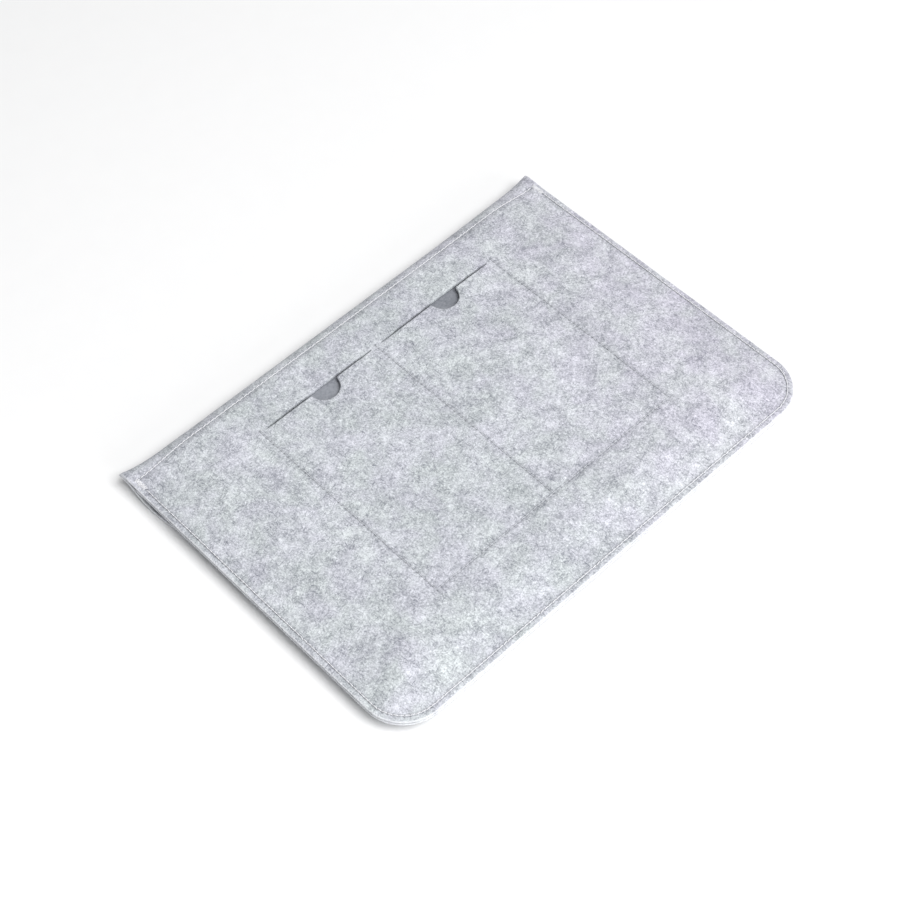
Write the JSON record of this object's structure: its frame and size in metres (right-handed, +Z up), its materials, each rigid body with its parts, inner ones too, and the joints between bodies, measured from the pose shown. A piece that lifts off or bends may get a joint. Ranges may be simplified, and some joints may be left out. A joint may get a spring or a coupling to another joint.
{
  "type": "laptop sleeve",
  "caption": "Light grey marled felt laptop sleeve lying pocket side up, its flap folded around the long edge and underneath, with two slit pockets that have thumb notches.",
  "frame": {"origin": "middle of the sleeve's outline, on the surface it lies on", "axes": "+X along the folded long edge towards the phone pocket's side, +Y towards the fold, +Z up out of the pocket side"},
  "size_m": [0.316, 0.228, 0.0184],
  "materials": {
    "grey_felt": "matte marled felt",
    "lining_cloth": "brushed",
    "thread": "matte",
    "hook_tape": "matte",
    "loop_tape": "brushed"
  },
  "bodies": {
    "sleeve": {"back_felt": "grey_felt", "front_felt": "grey_felt", "back_lining": "lining_cloth", "front_lining": "lining_cloth", "perimeter_stitching": "thread", "perimeter_under_stitching": "thread", "fold_stitching": "thread", "mouth_stitching": "thread", "card_pocket_stitching": "thread", "divider_stitching": "thread", "phone_pocket_stitching": "thread", "pocket_bottom_stitching": "thread", "corner_bartacks": "thread", "loop_tapes": "loop_tape", "loop_tape_stitching": "thread"},
    "fold": {"fold_felt": "grey_felt"},
    "flap": {"flap_felt": "grey_felt", "hook_tapes": "hook_tape", "hook_tape_stitching": "thread"}
  },
  "joints": [
    {"name": "fold_hinge", "type": "hinge", "parent": "sleeve", "child": "fold", "pos_m": [0, 0.1129, 0.0169], "axis": [1, 0, 0], "range_deg": [0, 90]},
    {"name": "flap_hinge", "type": "hinge", "parent": "fold", "child": "flap", "pos_m": [0, 0.1129, 0.0011], "axis": [1, 0, 0], "range_deg": [0, 90]}
  ],
  "couplings": [
    {"joint": "flap_hinge", "follows": "fold_hinge", "ratio": 1}
  ]
}
